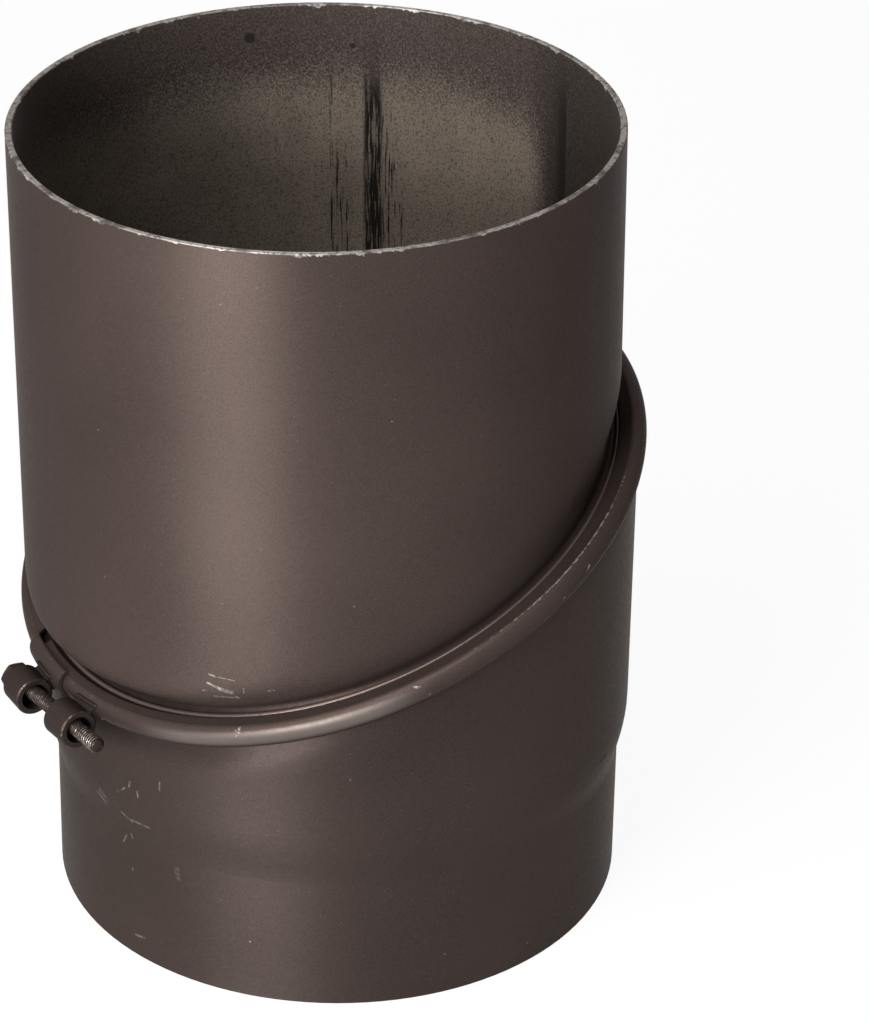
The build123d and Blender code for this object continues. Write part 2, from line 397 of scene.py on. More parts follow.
class Shader:
    """Short calls that add nodes to one material."""

    def __init__(self, name):
        self.material = bpy.data.materials.new(name)
        self.material.use_nodes = True
        self.tree = self.material.node_tree
        self.surface = self.tree.nodes["Principled BSDF"]
        where = self.tree.nodes.new("ShaderNodeTexCoord")
        self.place = where.outputs["Object"]
        self.facing = where.outputs["Normal"]

    def link(self, value, socket):
        if isinstance(value, bpy.types.NodeSocket):
            self.tree.links.new(value, socket)
        elif isinstance(value, (int, float)) and hasattr(socket.default_value, "__len__"):
            socket.default_value = [value] * len(socket.default_value)
        else:
            socket.default_value = value

    def math(self, operation, a, b=0.0, c=0.0):
        node = self.tree.nodes.new("ShaderNodeMath")
        node.operation = operation
        for socket, value in zip(node.inputs, (a, b, c)):
            self.link(value, socket)
        return node.outputs[0]

    def vector(self, operation, a, b=(0, 0, 0)):
        node = self.tree.nodes.new("ShaderNodeVectorMath")
        node.operation = operation
        self.link(a, node.inputs[0])
        self.link(b, node.inputs[1])
        return node.outputs["Value" if operation in ("DOT_PRODUCT", "LENGTH") else "Vector"]

    def noise(self, scale, detail=3.0, roughness=0.5, place=None):
        node = self.tree.nodes.new("ShaderNodeTexNoise")
        node.inputs["Scale"].default_value = scale
        node.inputs["Detail"].default_value = detail
        node.inputs["Roughness"].default_value = roughness
        self.link(place or self.place, node.inputs["Vector"])
        return node.outputs["Fac"]

    def point(self, x, y, z=0.0):
        node = self.tree.nodes.new("ShaderNodeCombineXYZ")
        for socket, value in zip(node.inputs, (x, y, z)):
            self.link(value, socket)
        return node.outputs[0]

    def cells(self, scale, place=None, output="Distance"):
        node = self.tree.nodes.new("ShaderNodeTexVoronoi")
        node.inputs["Scale"].default_value = scale
        self.link(place or self.place, node.inputs["Vector"])
        return node.outputs[output]

    def ramp(self, value, low, high, to_low=0.0, to_high=1.0):
        """A smooth step of a value from low to high."""
        node = self.tree.nodes.new("ShaderNodeMapRange")
        node.interpolation_type = "SMOOTHSTEP"
        for socket, number in zip(node.inputs[1:5], (low, high, to_low, to_high)):
            socket.default_value = number
        self.link(value, node.inputs[0])
        return node.outputs[0]

    def both(self, a, b):
        return self.math("MULTIPLY", a, b)

    def either(self, a, b):
        return self.math("MAXIMUM", a, b)

    def mix(self, share, a, b):
        """A blend of two colours."""
        node = self.tree.nodes.new("ShaderNodeMix")
        node.data_type = "RGBA"
        self.link(share, node.inputs[0])
        colours = [socket for socket in node.inputs if socket.type == "RGBA"]
        self.link(a if isinstance(a, bpy.types.NodeSocket) else (*a, 1), colours[0])
        self.link(b if isinstance(b, bpy.types.NodeSocket) else (*b, 1), colours[1])
        return [socket for socket in node.outputs if socket.type == "RGBA"][0]

    def blend(self, share, a, b):
        """A blend of two numbers."""
        node = self.tree.nodes.new("ShaderNodeMix")
        self.link(share, node.inputs[0])
        self.link(a, node.inputs[2])
        self.link(b, node.inputs[3])
        return node.outputs[0]

    def attribute(self, name):
        node = self.tree.nodes.new("ShaderNodeAttribute")
        node.attribute_name = name
        return node.outputs["Fac"]

    def bump(self, height, strength, distance):
        node = self.tree.nodes.new("ShaderNodeBump")
        node.inputs["Strength"].default_value = strength
        node.inputs["Distance"].default_value = distance
        self.link(height, node.inputs["Height"])
        self.link(node.outputs["Normal"], self.surface.inputs["Normal"])

    def finish(self, colour, roughness, metallic):
        self.link(colour, self.surface.inputs["Base Color"])
        self.link(roughness, self.surface.inputs["Roughness"])
        self.link(metallic, self.surface.inputs["Metallic"])
        return self.material


# Colours
PAINT_DARK = (0.0326, 0.0229, 0.0198)
PAINT_LIGHT = (0.0546, 0.0392, 0.0335)
PAINT_EDGE = (0.30, 0.22, 0.20)
DUST = (0.22, 0.20, 0.185)
SCRATCH = (0.30, 0.265, 0.24)
BARE = (0.30, 0.28, 0.255)
RUBBED = (0.27, 0.235, 0.21)
# painted highlight: a lighter colour on the band's face where the lamp's highlight falls
PAINTED_BAND_HIGHLIGHT = (0.125, 0.103, 0.091)
# painted shade in the groove beside the clamp
PAINTED_GROOVE_SHADE = (0.013, 0.009, 0.008)
BARE_DARK = (0.06, 0.055, 0.05)
RAW_DARK = (0.076, 0.061, 0.049)
RAW_KHAKI = (0.158, 0.127, 0.100)
OVERSPRAY = (0.022, 0.0155, 0.0135)
OVERSPRAY_LIGHT = (0.054, 0.042, 0.036)
RAW_SPECK = (0.022, 0.019, 0.016)
SOOT = (0.007, 0.006, 0.005)
FLOOR_DARK = (0.90, 0.90, 0.90)
FLOOR_LIGHT = (0.93, 0.93, 0.93)
LOWER_EDGE = (0.44, 0.42, 0.40)  # the lower pipe shines more at a slant

# Paint, with noise scales in waves per metre
PAINT_SPECULAR = 0.18
PAINT_METALLIC = 0.60
PAINT_ROUGHNESS = (0.43, 0.52)
PAINT_DRAWN = 0.75  # the highlight is drawn out along the rolled sheet
PAINT_DRAWN_TURN = 0.25
PAINT_DRIFT_SCALE = 14.0
PAINT_GRAIN_SCALE = 2600.0
PAINT_FINE_SCALE = 900.0
PAINT_GRAIN_SHARE = 0.55
PAINT_GRAIN_FROM = (0.25, 0.75)
PAINT_FINE_FROM = (0.2, 0.8)
PAINT_BUMP = 0.10
PAINT_BUMP_DEPTH = 0.1 * MM
UPPER_TONE = 1.0
LOWER_TONE = 0.86
BAND_TONE = 0.9
BAND_GLOSS = 1.12
BOLT_TONE = 0.65
BOLT_GLOSS = 1.2
LUG_TONE = 0.62
# painted shade: the welds carry a darker copy of the paint, for the shade in the gap between lug and band
WELD_SHADE_TONE = 0.6
# painted highlight: the flange roots carry a much lighter copy of the paint, for their bright line
ROOT_HIGHLIGHT_TONE = 1.9
ROOT_GLOSS = 1.5

# Wear on the paint, a painted highlight on the band's face, and painted shade in the groove beside the clamp
WEAR_SCALE = 900.0
WEAR_FROM = (0.55, 0.9)
RUBBED_ROUGHNESS = 0.38
RUBBED_METALLIC = 0.85
# painted highlight on the band's face: heights where it fades at the top and the foot, its strength, and its
# stretch of angles at the front
BAND_HIGHLIGHT_TOP = (1.6 * MM, 2.9 * MM)
BAND_HIGHLIGHT_FOOT = (-2.2 * MM, 0.2 * MM)
BAND_HIGHLIGHT_SHARE = 0.6
BAND_HIGHLIGHT_ARC = (-130.0, 29.0)  # middle and half width in degrees
# painted shade in the groove beside the clamp: how far from the joint's plane it fades out, and its strength
GROOVE_SHADE_REACH = (3.2 * MM, 6.0 * MM)
GROOVE_SHADE_SHARE = 0.7
STROKE_EDGE = (0.3, 0.6)  # shares of a scratch's width
SCRATCH_SCALE = 1100.0
SCRATCH_BREAKS = (0.30, 0.60)
CUT_ROUGHNESS = 0.9
LUG_RIM_WEAR = 0.56
LUG_RIM_BACK = (0.25 * MM, 0.75 * MM)
LUG_RIM_IN = (0.45 * MM, 0.2 * MM)

# Cut ends of the pipes
RIM_CHIPS = 0.9 * MM
CHIP_SCALE = 260.0
CHIP_FROM = (0.52, 0.72)
RIM_BARE = (0.02 * MM, 0.26 * MM)
RIM_KEPT_SCALE = 150.0
RIM_KEPT_FROM = (0.36, 0.54)
RIM_KEPT_LEAST = 0.25
RIM_GREY_SCALE = 900.0
RIM_GREY_FROM = (0.25, 0.55)
RIM_ROUGHNESS = 0.45
RIM_METALLIC = 0.6

# Dust in the paint: cells per metre, share of cells with a speck, its size in the cell and strength
DUST_SPECKS = [(120.0, 0.30, 0.034, 0.6), (420.0, 0.35, 0.085, 0.20)]
DUST_CORE = 0.6  # share of a speck's size that is full
DUST_CHOICE = 0.01

# Marks on the paint: (angle, height) of both ends, the width and the strength, in degrees and millimetres
UPPER_SCRATCHES = [
    ((-139.3, -113.25), (-138.1, -113.55), 0.50, 0.50),
    ((-138.1, -113.55), (-134.5, -113.85), 0.28, 0.35),
    ((-139.65, -115.75), (-137.35, -116.85), 0.70, 0.60),
    ((-137.2, -117.0), (-135.4, -117.5), 1.30, 0.32),
    ((-138.6, -119.6), (-136.6, -119.5), 0.50, 0.30),
    ((-136.3, -119.5), (-134.3, -119.35), 0.55, 0.32),
    ((-134.4, -119.0), (-134.1, -119.2), 0.70, 0.32),
    ((-132.85, -115.9), (-132.85, -117.3), 0.35, 0.32),
    ((-128.3, -116.05), (-127.2, -115.85), 0.40, 0.38),
    ((-140.7, -118.2), (-140.5, -118.1), 0.45, 0.42),
]
LOWER_SCRATCHES = [
    ((-165.7, 42.8), (-162.9, 41.4), 0.55, 0.32),
    ((-162.8, 42.1), (-158.2, 42.5), 0.90, 0.25),
    ((-172.9, 44.1), (-170.8, 42.4), 0.80, 0.29),
    ((-171.6, 45.4), (-170.2, 44.2), 1.60, 0.14),
    ((-154.6, 58.5), (-154.7, 56.2), 0.50, 0.29),
    ((-160.3, 52.4), (-160.1, 51.1), 0.60, 0.43),
    ((-162.2, 54.5), (-162.5, 52.9), 0.60, 0.43),
    ((-164.4, 50.8), (-163.8, 51.6), 0.55, 0.32),
    ((-165.9, 49.2), (-165.6, 49.7), 0.60, 0.32),
    ((-164.0, 36.4), (-163.8, 35.6), 0.60, 0.36),
    ((-165.5, 35.3), (-166.5, 32.8), 0.50, 0.25),
    ((-163.9, 26.1), (-163.8, 25.6), 0.60, 0.32),
    ((-152.2, 32.2), (-151.9, 30.1), 1.50, 0.12),
    ((-163.3, 6.1), (-161.1, 6.7), 0.80, 0.29),
]
BAND_SCRATCHES = [
    ((-136.15, 2.95), (-136.0, 2.98), 0.45, 0.42),
    ((-136.75, 2.80), (-136.0, 2.40), 0.28, 0.38),
    ((-136.6, 2.05), (-136.55, 2.00), 0.35, 0.25),
    ((-136.85, 1.75), (-136.75, 1.70), 0.40, 0.30),
    ((-104.75, 2.52), (-104.5, 2.45), 0.50, 0.75),
    ((-104.4, 2.43), (-103.9, 2.30), 0.30, 0.30),
    ((-68.0, 0.32), (-67.6, 0.52), 0.55, 0.75),
    ((-68.5, 0.06), (-68.3, 0.16), 0.35, 0.45),
    ((-75.0, -0.52), (-74.75, -0.32), 0.40, 0.50),
    ((-103.05, -0.55), (-102.95, -0.53), 0.40, 0.40),
]

# A deep cut in the lower pipe: both ends and the width
LOWER_NICK = ((-53.7, 48.1), (-56.1, 47.8), 0.60)

# Inside of the upper pipe. Soot streaks: angle, half width, depth where it starts, and how broken it is
SOOT_STREAKS = [
    (50.4, 2.4, 12.0, 0.40),
    (47.6, 2.0, 22.0, 0.52),
    (45.2, 1.4, 30.0, 0.53),
    (56.6, 2.1, 34.0, 0.51),
    (58.9, 0.35, 13.0, 0.46),
]
SOOT_FADE = 14.0
SOOT_EDGE = 0.10
SOOT_HAIR_SCALE = 1500.0
SOOT_HAIR_DRAWN = 0.05  # heights shrink by this, so that the hairs run down the pipe
SOOT_HAZE = (50.6, 2.2)  # angle and half width
SOOT_HAZE_DEPTH = (4.0 * MM, 20.0 * MM)
SOOT_HAZE_SHARE = 0.35
INSIDE_SPOTS = [(75.2, 8.2, 1.5), (54.4, 11.2, 0.8)]  # angle, depth and radius
SPOT_SHARE = 0.75
SPOT_EDGE = (0.7 * MM, 1.2 * MM)
SEAM_DEG = 5.1
SEAM_WIDTH_DEG = 3.8
SEAM_CORE = 0.3  # share of the seam's width that is darkest
SEAM_SHARP_DEG = 0.25
SEAM_START = 3.0 * MM
SEAM_END = 18.0 * MM
SEAM_SHARE = 0.75
PAINTED_FADE_DEG = 12.5
PAINTED_BACK_DEG = (-175.0, -100.0)
PAINTED_SOOT = 0.45
OVERSPRAY_SCALE = 45.0
OVERSPRAY_DRIFT = 8.0 * MM
OVERSPRAY_FADE = 36.0 * MM
RAW_GRAIN_SCALE = 1900.0
RAW_GRAIN_REACH = 1.4
RAW_GRAIN_FROM = (0.1, 0.9)
SPRAY_GRAIN_FROM = (0.3, 0.7)
RAW_FLOW_SCALE = 70.0
RAW_FLOW_DRAWN = 0.5
RAW_FLOW_FROM = (0.3, 0.7)
RAW_FLOW_SHARE = (0.65, 0.95)
RAW_SPECK_SCALE = 1700.0
RAW_SPECK_FROM = (0.46, 0.66)
RAW_SPECK_SHARE = 0.7
RAW_ROUGHNESS = 0.72
RAW_METALLIC = 0.1


def paint(shader, tone=1.0, gloss=1.0, edge=PAINT_EDGE):
    """Colour and roughness of satin stove paint with a metallic grain. Edge is its shine at a slant."""
    dark = [tone * part for part in PAINT_DARK]
    light = [tone * part for part in PAINT_LIGHT]
    drift = shader.noise(PAINT_DRIFT_SCALE, 2.0)
    grain = shader.noise(PAINT_GRAIN_SCALE, 1.0, 0.7)
    fine = shader.noise(PAINT_FINE_SCALE, 1.0)
    share = shader.blend(PAINT_GRAIN_SHARE, drift, grain)
    colour = shader.mix(shader.ramp(share, *PAINT_GRAIN_FROM), dark, light)
    for scale, share, size, strength in DUST_SPECKS:
        dots = shader.ramp(shader.cells(scale), size * DUST_CORE, size, 1.0, 0.0)
        drawn = shader.vector("DOT_PRODUCT", shader.cells(scale, output="Color"), (1, 0, 0))
        chosen = shader.ramp(drawn, 1 - share, 1 - share + DUST_CHOICE)
        specks = shader.both(dots, chosen)
        colour = shader.mix(shader.math("MULTIPLY", specks, strength), colour, DUST)
    smooth, rough = PAINT_ROUGHNESS
    roughness = shader.ramp(fine, *PAINT_FINE_FROM, smooth / gloss, rough / gloss)
    shader.bump(shader.blend(0.5, grain, fine), PAINT_BUMP, PAINT_BUMP_DEPTH)
    shader.surface.inputs["Specular IOR Level"].default_value = PAINT_SPECULAR
    shader.surface.inputs["Specular Tint"].default_value = (*edge, 1)
    return colour, roughness


def worn_edges(shader):
    """The wear kept with a piece's points."""
    return shader.attribute("wear")


def band_highlight_and_scratches(shader, colour):
    """The band's colour with a painted highlight along the front of its face, and its scratches."""
    place = Place(shader, SWIVEL_AT, SWIVEL_AXIS, UP_SLOPE, BAND_FACE_R)
    on_face = shader.ramp(place.height, *BAND_HIGHLIGHT_TOP, BAND_HIGHLIGHT_SHARE, 0.0)
    on_face = shader.both(on_face, shader.ramp(place.height, *BAND_HIGHLIGHT_FOOT))
    # painted highlight: a lighter colour on the band's face, only in the stretch at the front where the lamp's
    # highlight falls
    colour = shader.mix(shader.both(on_face, place.near_angle(*BAND_HIGHLIGHT_ARC)), colour, PAINTED_BAND_HIGHLIGHT)
    return shader.mix(place.scratches(BAND_SCRATCHES), colour, SCRATCH)


def worn_paint(name, worn, tone, gloss=1.0, dress=None):
    """Paint rubbed through to bare metal where worn says. Dress adds marks to the paint's colour."""
    shader = Shader(name)
    colour, roughness = paint(shader, tone, gloss)
    if dress:
        colour = dress(shader, colour)
    patch = shader.math("SUBTRACT", shader.noise(WEAR_SCALE, 3.0, 0.6), 0.5)
    share = shader.ramp(shader.math("ADD", worn(shader), patch), *WEAR_FROM)
    colour = shader.mix(share, colour, RUBBED)
    roughness = shader.blend(share, roughness, RUBBED_ROUGHNESS)
    metallic = shader.blend(share, PAINT_METALLIC, RUBBED_METALLIC)
    return shader.finish(colour, roughness, metallic)


INSIDE_BLUR = 0.2
NEAR_CORE = 0.55  # share of a stretch's half width that is full


class Place:
    """Where a point lies on a pipe or band: its height along the axis and its angle from east."""

    def __init__(self, shader, origin, axis, east, radius):
        north = axis.cross(east)
        spot = shader.vector("SUBTRACT", shader.place, tuple(origin))
        self.shader = shader
        self.radius = radius
        self.height = shader.vector("DOT_PRODUCT", spot, tuple(axis))
        x = shader.vector("DOT_PRODUCT", spot, tuple(east))
        y = shader.vector("DOT_PRODUCT", spot, tuple(north))
        self.angle = shader.math("ARCTAN2", y, x)
        self.arc = shader.math("MULTIPLY", self.angle, radius)
        out_x = shader.both(x, shader.vector("DOT_PRODUCT", shader.facing, tuple(east)))
        out_y = shader.both(y, shader.vector("DOT_PRODUCT", shader.facing, tuple(north)))
        outward = shader.math("ADD", out_x, out_y)
        blur = INSIDE_BLUR * radius
        self.inside = shader.ramp(outward, -blur, blur, 1.0, 0.0)

    def stroke(self, start, end, width_mm):
        """1 on a straight scratch between two (angle, height) spots."""
        shader = self.shader
        width = width_mm * MM
        first = Vector((radians(start[0]) * self.radius, start[1] * MM))
        run = Vector((radians(end[0]) * self.radius, end[1] * MM)) - first
        length = run.length
        run.normalize()
        spot = shader.point(self.arc, self.height)
        along = shader.vector("DOT_PRODUCT", spot, (*run, 0))
        along = shader.math("SUBTRACT", along, first.dot(run))
        aside = Vector((-run.y, run.x))
        off = shader.vector("DOT_PRODUCT", spot, (*aside, 0))
        off = shader.math("SUBTRACT", off, first.dot(aside))
        thin = shader.ramp(shader.math("ABSOLUTE", off), *[width * edge for edge in STROKE_EDGE], 1.0, 0.0)
        past_middle = shader.math("ABSOLUTE", shader.math("SUBTRACT", along, length / 2))
        return shader.both(thin, shader.ramp(past_middle, length / 2, length / 2 + width, 1.0, 0.0))

    def scratches(self, marks):
        """All the scratches of a list, broken up by the paint's grain."""
        shader = self.shader
        total = 0.0
        for start, end, width, strength in marks:
            line = self.stroke(start, end, width)
            total = shader.either(total, shader.math("MULTIPLY", line, strength))
        broken = shader.ramp(shader.noise(SCRATCH_SCALE, 2.0, 0.7), *SCRATCH_BREAKS)
        return shader.both(shader.both(total, broken), shader.math("SUBTRACT", 1.0, self.inside))

    def near_angle(self, angle_deg, half_deg):
        """1 near an angle, fading out at the half width."""
        apart = self.shader.math("SUBTRACT", self.angle, radians(angle_deg))
        apart = self.shader.math("ABSOLUTE", apart)
        half = radians(half_deg)
        return self.shader.ramp(apart, half * NEAR_CORE, half, 1.0, 0.0)


def raw_inside(shader, place, depth):
    """Unpainted sheet on the inside, with overspray near the end and beyond the dark seam: colour."""
    seam = radians(SEAM_DEG)
    painted = shader.ramp(place.angle, seam, seam + radians(PAINTED_FADE_DEG), 1.0, 0.0)
    back = shader.ramp(place.angle, *[radians(angle) for angle in PAINTED_BACK_DEG])
    painted = shader.both(painted, back)
    drift = shader.math("MULTIPLY", shader.noise(OVERSPRAY_SCALE, 3.0), OVERSPRAY_DRIFT)
    bare = shader.ramp(shader.math("SUBTRACT", depth, drift), 0.0, OVERSPRAY_FADE)
    bare = shader.both(bare, shader.math("SUBTRACT", 1.0, painted))
    grain = shader.noise(RAW_GRAIN_SCALE, 2.0, 0.75)
    shift = shader.math("MULTIPLY", shader.math("SUBTRACT", grain, 0.5), RAW_GRAIN_REACH)
    bare = shader.ramp(shader.math("ADD", bare, shift), *RAW_GRAIN_FROM)
    flow = shader.point(place.arc, shader.math("MULTIPLY", place.height, RAW_FLOW_DRAWN))
    tone = shader.ramp(shader.noise(RAW_FLOW_SCALE, 4.0, 0.6, flow), *RAW_FLOW_FROM, *RAW_FLOW_SHARE)
    raw = shader.mix(tone, RAW_DARK, RAW_KHAKI)
    specks = shader.noise(RAW_SPECK_SCALE, 3.0, 0.75)
    raw = shader.mix(shader.ramp(specks, *RAW_SPECK_FROM, 0.0, RAW_SPECK_SHARE), raw, RAW_SPECK)
    spray = shader.mix(shader.ramp(grain, *SPRAY_GRAIN_FROM), OVERSPRAY, OVERSPRAY_LIGHT)
    spray = shader.mix(shader.math("MULTIPLY", painted, PAINTED_SOOT), spray, SOOT)
    return shader.mix(bare, spray, raw)


def soot_streaks(shader, place, depth):
    """Share of soot in the streaks that run down the inside, with a haze round the widest."""
    flow = shader.point(place.arc, shader.math("MULTIPLY", place.height, SOOT_HAIR_DRAWN))
    hairs = shader.noise(SOOT_HAIR_SCALE, 3.0, 0.65, flow)
    haze = shader.both(place.near_angle(*SOOT_HAZE), shader.ramp(depth, *SOOT_HAZE_DEPTH))
    total = shader.math("MULTIPLY", haze, SOOT_HAZE_SHARE)
    for angle, half, start, broken in SOOT_STREAKS:
        window = place.near_angle(angle, half)
        fade = shader.ramp(depth, start * MM, (start + SOOT_FADE) * MM)
        dark = shader.ramp(hairs, broken, broken + SOOT_EDGE)
        total = shader.either(total, shader.both(shader.both(window, fade), dark))
    return total


def dark_spots(shader, place, depth):
    """Share of soot in the round spots near the rim."""
    total = 0.0
    for angle, down, size in INSIDE_SPOTS:
        aside = shader.math("SUBTRACT", place.arc, radians(angle) * PIPE_R)
        below = shader.math("SUBTRACT", depth, down * MM)
        off = shader.vector("LENGTH", shader.point(aside, below))
        spot = shader.ramp(off, *[size * edge for edge in SPOT_EDGE], 1.0, 0.0)
        total = shader.either(total, shader.math("MULTIPLY", spot, SPOT_SHARE))
    return total


def dark_seam(shader, place, depth):
    """Share of a dark band down the inside at the seam's angle, with one sharp side."""
    sharp = radians(SEAM_DEG - SEAM_WIDTH_DEG / 2)
    core_end = sharp + radians(SEAM_CORE * SEAM_WIDTH_DEG)
    seam = shader.ramp(place.angle, core_end, sharp + radians(SEAM_WIDTH_DEG), 1.0, 0.0)
    seam = shader.both(seam, shader.ramp(place.angle, sharp - radians(SEAM_SHARP_DEG), sharp))
    seam = shader.both(seam, shader.ramp(depth, SEAM_START, SEAM_END))
    return shader.math("MULTIPLY", seam, SEAM_SHARE)


def soot(shader, place, depth):
    """Share of soot in the streaks and spots on the inside, and of the dark band at the seam."""
    total = soot_streaks(shader, place, depth)
    total = shader.either(total, dark_spots(shader, place, depth))
    return shader.either(total, dark_seam(shader, place, depth))


def groove_painted_shade(shader):
    """Share of painted shade in the groove beside the clamp, close to the joint's plane."""
    spot = shader.vector("SUBTRACT", shader.place, tuple(SWIVEL_AT))
    off = shader.math("ABSOLUTE", shader.vector("DOT_PRODUCT", spot, tuple(SWIVEL_AXIS)))
    return shader.ramp(off, *GROOVE_SHADE_REACH, GROOVE_SHADE_SHARE, 0.0)


def chipped_edge(shader, rim_depth, chip_reach):
    """Share of bare sheet on a cut end, with a few chips that reach past its edge."""
    chips = shader.ramp(shader.noise(CHIP_SCALE, 3.0, 0.65), *CHIP_FROM)
    edge = shader.math("SUBTRACT", rim_depth, shader.math("MULTIPLY", chips, chip_reach))
    bare = shader.ramp(edge, *RIM_BARE, 1.0, 0.0)
    kept = shader.ramp(shader.noise(RIM_KEPT_SCALE, 3.0, 0.65), *RIM_KEPT_FROM, RIM_KEPT_LEAST, 1.0)
    return shader.both(bare, kept)


def pipe_finish(
    name, origin, axis, end_sign, scratches, tone,
    edge=PAINT_EDGE, chip_reach=0.0, nick=None, with_soot=False,
):
    """A painted pipe, raw on the inside. Its open end lies at origin, end_sign along the axis."""
    shader = Shader(name)
    east = (Vector((1, 0, 0)) - axis * axis.x).normalized()
    place = Place(shader, origin, axis, east, PIPE_R)
    depth = shader.math("MULTIPLY", place.height, -end_sign)
    colour, roughness = paint(shader, tone, edge=edge)
    # painted shade: darker paint close to the joint's plane, in the groove beside the clamp
    colour = shader.mix(groove_painted_shade(shader), colour, PAINTED_GROOVE_SHADE)
    colour = shader.mix(place.scratches(scratches), colour, SCRATCH)
    inner = raw_inside(shader, place, depth)
    if with_soot:
        inner = shader.mix(soot(shader, place, depth), inner, SOOT)
    colour = shader.mix(place.inside, colour, inner)
    bare = chipped_edge(shader, depth, chip_reach)
    patches = shader.ramp(shader.noise(RIM_GREY_SCALE, 2.0, 0.6), *RIM_GREY_FROM)
    colour = shader.mix(bare, colour, shader.mix(patches, BARE_DARK, BARE))
    roughness = shader.blend(place.inside, roughness, RAW_ROUGHNESS)
    roughness = shader.blend(bare, roughness, RIM_ROUGHNESS)
    metallic = shader.blend(place.inside, PAINT_METALLIC, RAW_METALLIC)
    metallic = shader.blend(bare, metallic, RIM_METALLIC)
    if nick:
        cut = place.stroke(*nick)
        colour = shader.mix(cut, colour, SOOT)
        roughness = shader.blend(cut, roughness, CUT_ROUGHNESS)
        metallic = shader.blend(cut, metallic, 0.0)
    shader.surface.inputs["Anisotropic"].default_value = PAINT_DRAWN
    shader.surface.inputs["Anisotropic Rotation"].default_value = PAINT_DRAWN_TURN
    return shader.finish(colour, roughness, metallic)


def lug_wear(middle, axis):
    """Bright wear on the edge of a lug's recessed end, which lies at middle."""

    def worn(shader):
        spot = shader.vector("SUBTRACT", shader.place, tuple(middle))
        along = shader.vector("DOT_PRODUCT", spot, tuple(axis))
        near_end = shader.ramp(shader.math("ABSOLUTE", along), *LUG_RIM_BACK, 1.0, 0.0)
        spot_squared = shader.vector("DOT_PRODUCT", spot, spot)
        off = shader.math("SQRT", shader.math("SUBTRACT", spot_squared, shader.both(along, along)))
        near_rim = shader.ramp(off, *[LUG_R - step for step in LUG_RIM_IN])
        return shader.math("MULTIPLY", shader.both(near_end, near_rim), LUG_RIM_WEAR)

    return worn


# White studio
FLOOR_SIZE = 12.0
FLOOR_SCALE = 3.0
FLOOR_ROUGHNESS = 0.8
FLOOR_GLOW = 0.94
WORLD_LIGHT = 0.14


def seen_rays(tree):
    """1 for rays from the camera, and for those mirrored or let through by a surface."""
    path = tree.nodes.new("ShaderNodeLightPath")
    total = path.outputs["Is Camera Ray"]
    for name in ("Is Glossy Ray", "Is Transmission Ray"):
        node = tree.nodes.new("ShaderNodeMath")
        node.operation = "MAXIMUM"
        tree.links.new(total, node.inputs[0])
        tree.links.new(path.outputs[name], node.inputs[1])
        total = node.outputs[0]
    return total


def floor_material():
    """A pale floor that looks white and still takes a shadow."""
    shader = Shader("pale_floor")
    tone = shader.noise(FLOOR_SCALE, 2.0)
    shader.finish(shader.mix(tone, FLOOR_DARK, FLOOR_LIGHT), FLOOR_ROUGHNESS, 0.0)
    tree = shader.tree
    glow = tree.nodes.new("ShaderNodeEmission")
    seen = seen_rays(tree)
    mixer = tree.nodes.new("ShaderNodeMixShader")
    tree.links.new(shader.math("MULTIPLY", seen, FLOOR_GLOW), mixer.inputs[0])
    tree.links.new(shader.surface.outputs[0], mixer.inputs[1])
    tree.links.new(glow.outputs[0], mixer.inputs[2])
    tree.links.new(mixer.outputs[0], tree.nodes["Material Output"].inputs["Surface"])
    return shader.material


def studio():
    """The floor, and a white world that lights the object only a little."""
    bpy.ops.mesh.primitive_plane_add(size=FLOOR_SIZE)
    floor = bpy.context.object
    floor.name = "floor"
    floor.data.materials.append(floor_material())
    world = bpy.data.worlds.new("white_studio")
    bpy.context.scene.world = world
    world.use_nodes = True
    tree = world.node_tree
    background = tree.nodes["Background"]
    background.inputs["Color"].default_value = (1, 1, 1, 1)
    strength = tree.nodes.new("ShaderNodeMapRange")
    tree.links.new(seen_rays(tree), strength.inputs[0])
    strength.inputs[3].default_value = WORLD_LIGHT
    strength.inputs[4].default_value = 1.0
    tree.links.new(strength.outputs[0], background.inputs["Strength"])


# Camera, fitted to the picture's 869 by 1024 frame
CAMERA_AZIMUTH = radians(-30.24)
CAMERA_ELEVATION = radians(30.041)
CAMERA_ROLL = radians(1.006)
CAMERA_DISTANCE = 1.11067
CAMERA_FOCAL_PIXELS = 4380.58
FRAME_HEIGHT = 1024
SENSOR = 36.0
TARGET_RIGHT = 24.167 * MM
TARGET_HEIGHT = 100.918 * MM

RIGHT = Vector((cos(CAMERA_AZIMUTH), sin(CAMERA_AZIMUTH), 0))
AHEAD = Vector((-sin(CAMERA_AZIMUTH), cos(CAMERA_AZIMUTH), 0))
TARGET = RIGHT * TARGET_RIGHT + Vector((0, 0, TARGET_HEIGHT))


def camera():
    """The camera, which looks at the target from above and from the left."""
    back = Vector((0, 0, sin(CAMERA_ELEVATION))) - AHEAD * cos(CAMERA_ELEVATION)
    up = back.cross(RIGHT)
    right = RIGHT * cos(CAMERA_ROLL) + up * sin(CAMERA_ROLL)
    up = up * cos(CAMERA_ROLL) - RIGHT * sin(CAMERA_ROLL)
    eye = bpy.data.objects.new("camera", bpy.data.cameras.new("camera"))
    eye.data.sensor_width = SENSOR
    eye.data.lens = CAMERA_FOCAL_PIXELS / FRAME_HEIGHT * SENSOR
    place = Matrix((right, up, back)).transposed().to_4x4()
    place.translation = TARGET + back * CAMERA_DISTANCE
    eye.matrix_world = place
    bpy.context.scene.collection.objects.link(eye)
    bpy.context.scene.camera = eye


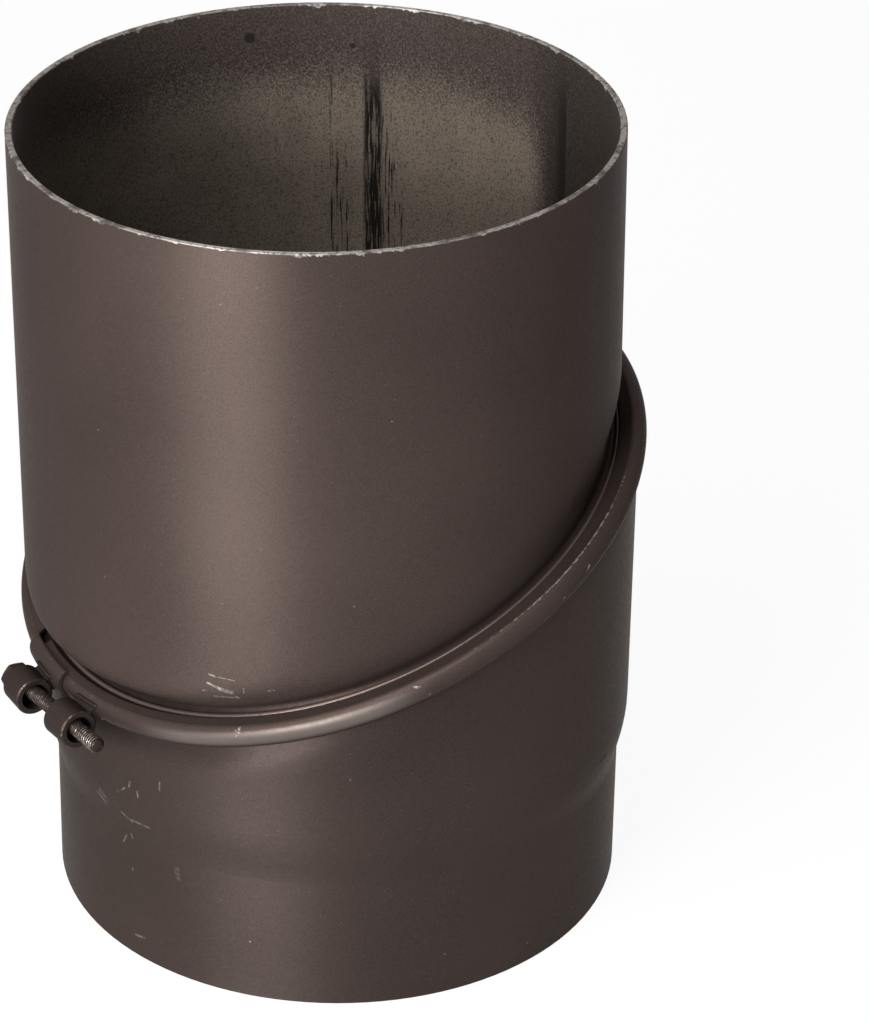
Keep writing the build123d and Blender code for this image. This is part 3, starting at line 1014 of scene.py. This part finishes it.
KEY_LAMP = {
    "azimuth_deg": -27.5,
    "elevation_deg": 15.0,
    "distance": 0.9,
    "width": 0.42,
    "height": 0.36,
    "power": 17.0,
    "colour": (0.96, 1.01, 1.04),
}
TOP_LAMP = {
    "azimuth_deg": -45.0,
    "elevation_deg": 56.0,
    "distance": 1.3,
    "width": 0.8,
    "height": 0.8,
    "power": 15.5,
    "colour": (1.0, 1.0, 1.0),
}


def lamp(name, azimuth_deg, elevation_deg, distance, width, height, power, colour):
    """A soft lamp that faces the object. Azimuth is from the camera's side, to the right."""
    azimuth = radians(azimuth_deg)
    elevation = radians(elevation_deg)
    flat = RIGHT * sin(azimuth) - AHEAD * cos(azimuth)
    toward = flat * cos(elevation) + Vector((0, 0, sin(elevation)))
    light = bpy.data.objects.new(name, bpy.data.lights.new(name, "AREA"))
    light.data.shape = "RECTANGLE"
    light.data.size = width
    light.data.size_y = height
    light.data.energy = power
    light.data.color = colour
    centre = Vector((0, 0, TARGET_HEIGHT))
    light.location = centre + toward * distance
    light.rotation_euler = (centre - light.location).to_track_quat("-Z", "Y").to_euler()
    bpy.context.scene.collection.objects.link(light)


# Pieces
band = clamp_band()
bolt = clamp_bolt()
welds = []
for lug, span, rise in (("head", HEAD_LUG, LAP_RISE), ("threaded", THREADED_LUG, 0.0)):
    for seam, side in (("upper", 1), ("lower", -1)):
        welds.append(weld_bead(f"weld_{lug}_{seam}", span, rise, side))

roots = [flange_root("flange_root_upper", "upper", 1), flange_root("flange_root_lower", "lower", -1)]

# Finishes
band.data.materials.append(worn_paint("band_finish", worn_edges, BAND_TONE, BAND_GLOSS, band_highlight_and_scratches))
bolt.data.materials.append(worn_paint("bolt_finish", worn_edges, BOLT_TONE, BOLT_GLOSS))
# the welds' darker paint is painted shade of the gap between lugs and band
for piece in welds:
    piece.data.materials.append(worn_paint(f"{piece.name}_finish", worn_edges, WELD_SHADE_TONE))
for piece in roots:
    # the flange roots' lighter paint is a painted highlight along the bright line at the flange
    piece.data.materials.append(worn_paint(f"{piece.name}_finish", worn_edges, ROOT_HIGHLIGHT_TONE, ROOT_GLOSS))
outward = (bolt_point(1.0, 0, 0) - BOLT_AT).normalized()
lean = radians(HEAD_LUG_LEAN_DEG)
head_lug_axis = BOLT_AXIS * cos(lean) + outward * sin(lean)
head_lug_worn = lug_wear(bolt_point(HEAD_LUG_OFFSET, 0, HEAD_LUG[1]), head_lug_axis)
threaded_lug_worn = lug_wear(bolt_point(0, 0, THREADED_LUG[1]), BOLT_AXIS)
finishes = {
    "upper_pipe": pipe_finish(
        "upper_finish", RIM_AT, SOCKET_AXIS, 1, UPPER_SCRATCHES, UPPER_TONE,
        chip_reach=RIM_CHIPS, with_soot=True,
    ),
    "lower_pipe": pipe_finish(
        "lower_finish", Vector((0, 0, 0)), Vector((0, 0, 1)), -1, LOWER_SCRATCHES, LOWER_TONE,
        edge=LOWER_EDGE, nick=LOWER_NICK,
    ),
    "head_lug": worn_paint("head_lug_finish", head_lug_worn, LUG_TONE),
    "threaded_lug": worn_paint("threaded_lug_finish", threaded_lug_worn, LUG_TONE),
}
for name, material in finishes.items():
    node = frame["nodes"][name]
    node.data.materials.clear()
    node.data.materials.append(material)

# Studio, camera and lamps
studio()
camera()
lamp("key", **KEY_LAMP)
lamp("top", **TOP_LAMP)
bpy.context.scene.view_settings.view_transform = "Standard"
